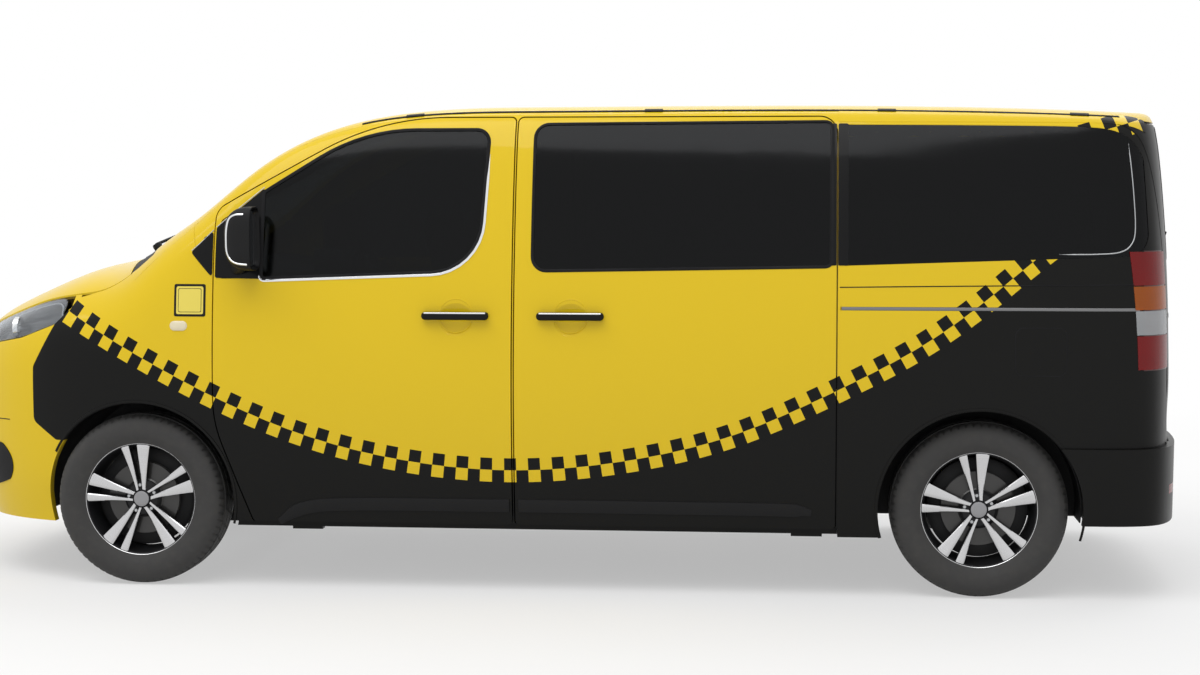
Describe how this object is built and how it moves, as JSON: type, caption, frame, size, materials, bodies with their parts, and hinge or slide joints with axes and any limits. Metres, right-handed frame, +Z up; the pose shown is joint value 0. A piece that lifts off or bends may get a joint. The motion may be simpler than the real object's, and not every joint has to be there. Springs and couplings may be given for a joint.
{
  "type": "taxi cab",
  "caption": "Passenger van taxi in yellow and black with a chequered band, steered front wheels, sliding side doors and alloy wheels.",
  "frame": {"origin": "on the ground midway between the front end and the rear end, in the middle plane", "axes": "+X to the rear, +Y to the vehicle's right side, +Z up"},
  "size_m": [4.959, 2.2056, 1.906],
  "materials": {
    "body_paint": "gloss yellow lacquer, black below the chequered band",
    "tinted_glass": "dark tint",
    "lamp_lens": "clear lens",
    "red_lens": "gloss red lens",
    "black_plastic": "fine grain black",
    "chassis_iron": "rough black",
    "underbody_paint": "matt grey sealer",
    "engine_casting": "as cast",
    "seat_fabric": "dark woven cloth",
    "exhaust_steel": "dull steel",
    "tyre_rubber": "matt black rubber",
    "wheel_alloy": "bright machined faces, dark sides"
  },
  "bodies": {
    "body": {"sliding_doors": "body_paint", "body_side_left": "body_paint", "body_side_right": "body_paint", "front_wings": "body_paint", "front_bumper": "body_paint", "headlamps": "lamp_lens", "front_grille": "black_plastic", "roof_panel": "body_paint", "scuttle_panel": "black_plastic", "windscreen": "tinted_glass", "rear_bumper": "body_paint", "tail_lamps": "red_lens", "front_subframe": "chassis_iron", "floor_pan": "underbody_paint", "wheel_arch_liners": "black_plastic", "rear_axle": "chassis_iron", "engine_block": "engine_casting", "front_seats": "seat_fabric", "second_row_seats": "seat_fabric", "third_row_seats": "seat_fabric", "dashboard": "black_plastic", "steering_wheel": "black_plastic", "exhaust": "exhaust_steel", "fuel_tank": "black_plastic", "fixed_side_glass": "tinted_glass"},
    "bonnet_body": {"bonnet": "body_paint"},
    "front_door_left_body": {"front_door_left": "body_paint", "front_glass_left": "tinted_glass", "mirror_left": "black_plastic"},
    "front_door_right_body": {"front_door_right": "body_paint", "front_glass_right": "tinted_glass", "mirror_right": "black_plastic"},
    "tailgate_body": {"tailgate": "body_paint", "tailgate_glass": "tinted_glass"},
    "knuckle_left": {"steering_knuckle_left": "chassis_iron"},
    "knuckle_right": {"steering_knuckle_right": "chassis_iron"},
    "front_wheel_body_left": {"tyre_front_left": "tyre_rubber", "wheel_front_left": "wheel_alloy"},
    "front_wheel_body_right": {"tyre_front_right": "tyre_rubber", "wheel_front_right": "wheel_alloy"},
    "rear_wheel_body_left": {"tyre_rear_left": "tyre_rubber", "wheel_rear_left": "wheel_alloy"},
    "rear_wheel_body_right": {"tyre_rear_right": "tyre_rubber", "wheel_rear_right": "wheel_alloy"}
  },
  "joints": [
    {"name": "steer_left", "type": "hinge", "parent": "body", "child": "knuckle_left", "pos_m": [-1.5985, -0.785, 0.194], "axis": [0, 0.2216, 0.9751], "range_deg": [-35, 35]},
    {"name": "steer_right", "type": "hinge", "parent": "body", "child": "knuckle_right", "pos_m": [-1.5985, 0.785, 0.194], "axis": [0, -0.2216, 0.9751], "range_deg": [-35, 35]},
    {"name": "front_wheel_left", "type": "hinge", "parent": "knuckle_left", "child": "front_wheel_body_left", "pos_m": [-1.5985, -0.8135, 0.3395], "axis": [0, 1, 0], "continuous": true},
    {"name": "front_wheel_right", "type": "hinge", "parent": "knuckle_right", "child": "front_wheel_body_right", "pos_m": [-1.5985, 0.8135, 0.3395], "axis": [0, 1, 0], "continuous": true},
    {"name": "rear_wheel_left", "type": "hinge", "parent": "body", "child": "rear_wheel_body_left", "pos_m": [1.6765, -0.8, 0.3395], "axis": [0, 1, 0], "continuous": true},
    {"name": "rear_wheel_right", "type": "hinge", "parent": "body", "child": "rear_wheel_body_right", "pos_m": [1.6765, 0.8, 0.3395], "axis": [0, 1, 0], "continuous": true},
    {"name": "front_door_left_hinge", "type": "hinge", "parent": "body", "child": "front_door_left_body", "pos_m": [-1.2844, -0.96, 1], "axis": [0, 0, -1], "range_deg": [0, 70]},
    {"name": "front_door_right_hinge", "type": "hinge", "parent": "body", "child": "front_door_right_body", "pos_m": [-1.2844, 0.96, 1], "axis": [0, 0, 1], "range_deg": [0, 70]},
    {"name": "bonnet_hinge", "type": "hinge", "parent": "body", "child": "bonnet_body", "pos_m": [-1.658, 0, 1.27], "axis": [0, 1, 0], "range_deg": [0, 55]},
    {"name": "tailgate_hinge", "type": "hinge", "parent": "body", "child": "tailgate_body", "pos_m": [2.3866, 0, 1.8128], "axis": [0, -1, 0], "range_deg": [0, 85]}
  ],
  "couplings": [
    {"joint": "steer_right", "follows": "steer_left", "ratio": 1}
  ]
}
